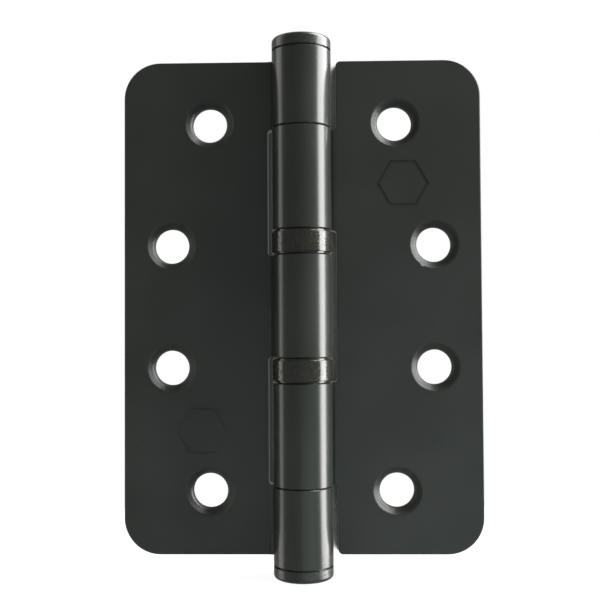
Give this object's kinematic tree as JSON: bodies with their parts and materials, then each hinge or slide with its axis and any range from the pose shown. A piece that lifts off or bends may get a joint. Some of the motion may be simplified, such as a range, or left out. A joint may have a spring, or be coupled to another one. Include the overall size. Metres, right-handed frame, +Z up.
{
  "type": "door hinge",
  "caption": "Butt hinge with radius corners, curled knuckles on a fixed pin, ball bearings between the knuckles and countersunk screw holes.",
  "frame": {"origin": "on the pin's axis, midway between the leaves' top and bottom ends, which is also the middle of the open hinge's bounding box", "axes": "+Z up the pin; the left leaf lies towards -X and the right leaf towards +X; the countersunk faces look towards -Y and the backs that rest on door and frame towards +Y"},
  "size_m": [0.074, 0.0124, 0.1106],
  "materials": {
    "leaf_coat": "satin black coating on steel sheet, fine grain",
    "cap_coat": "smoother semi-gloss black coating",
    "shell_coat": "glossier warm black coating with fine speckle",
    "pin_steel": "ground bright steel",
    "race_steel": "hardened ground steel",
    "cage_brass": "stamped brass",
    "ball_steel": "polished"
  },
  "bodies": {
    "left_side": {"left_leaf": "leaf_coat", "hinge_pin": "pin_steel", "top_cap": "cap_coat", "bottom_cap": "cap_coat", "upper_shell": "shell_coat", "upper_bottom_race": "race_steel", "lower_top_race": "race_steel"},
    "right_side": {"right_leaf": "leaf_coat", "upper_top_race": "race_steel", "lower_bottom_race": "race_steel", "lower_shell": "shell_coat"},
    "upper_cage_and_balls": {"upper_cage": "cage_brass", "upper_ball_1": "ball_steel", "upper_ball_2": "ball_steel", "upper_ball_3": "ball_steel", "upper_ball_4": "ball_steel", "upper_ball_5": "ball_steel", "upper_ball_6": "ball_steel", "upper_ball_7": "ball_steel", "upper_ball_8": "ball_steel", "upper_ball_9": "ball_steel", "upper_ball_10": "ball_steel", "upper_ball_11": "ball_steel", "upper_ball_12": "ball_steel"},
    "lower_cage_and_balls": {"lower_cage": "cage_brass", "lower_ball_1": "ball_steel", "lower_ball_2": "ball_steel", "lower_ball_3": "ball_steel", "lower_ball_4": "ball_steel", "lower_ball_5": "ball_steel", "lower_ball_6": "ball_steel", "lower_ball_7": "ball_steel", "lower_ball_8": "ball_steel", "lower_ball_9": "ball_steel", "lower_ball_10": "ball_steel", "lower_ball_11": "ball_steel", "lower_ball_12": "ball_steel"}
  },
  "joints": [
    {"name": "swing", "type": "hinge", "parent": "left_side", "child": "right_side", "pos_m": [0, 0, 0], "axis": [0, 0, -1], "range_deg": [-90, 180]},
    {"name": "upper_cage_orbit", "type": "hinge", "parent": "left_side", "child": "upper_cage_and_balls", "pos_m": [0, 0, 0], "axis": [0, 0, -1], "range_deg": [-45, 90]},
    {"name": "lower_cage_orbit", "type": "hinge", "parent": "left_side", "child": "lower_cage_and_balls", "pos_m": [0, 0, 0], "axis": [0, 0, -1], "range_deg": [-45, 90]}
  ],
  "couplings": [
    {"joint": "upper_cage_orbit", "follows": "swing", "ratio": 0.5},
    {"joint": "lower_cage_orbit", "follows": "swing", "ratio": 0.5}
  ]
}
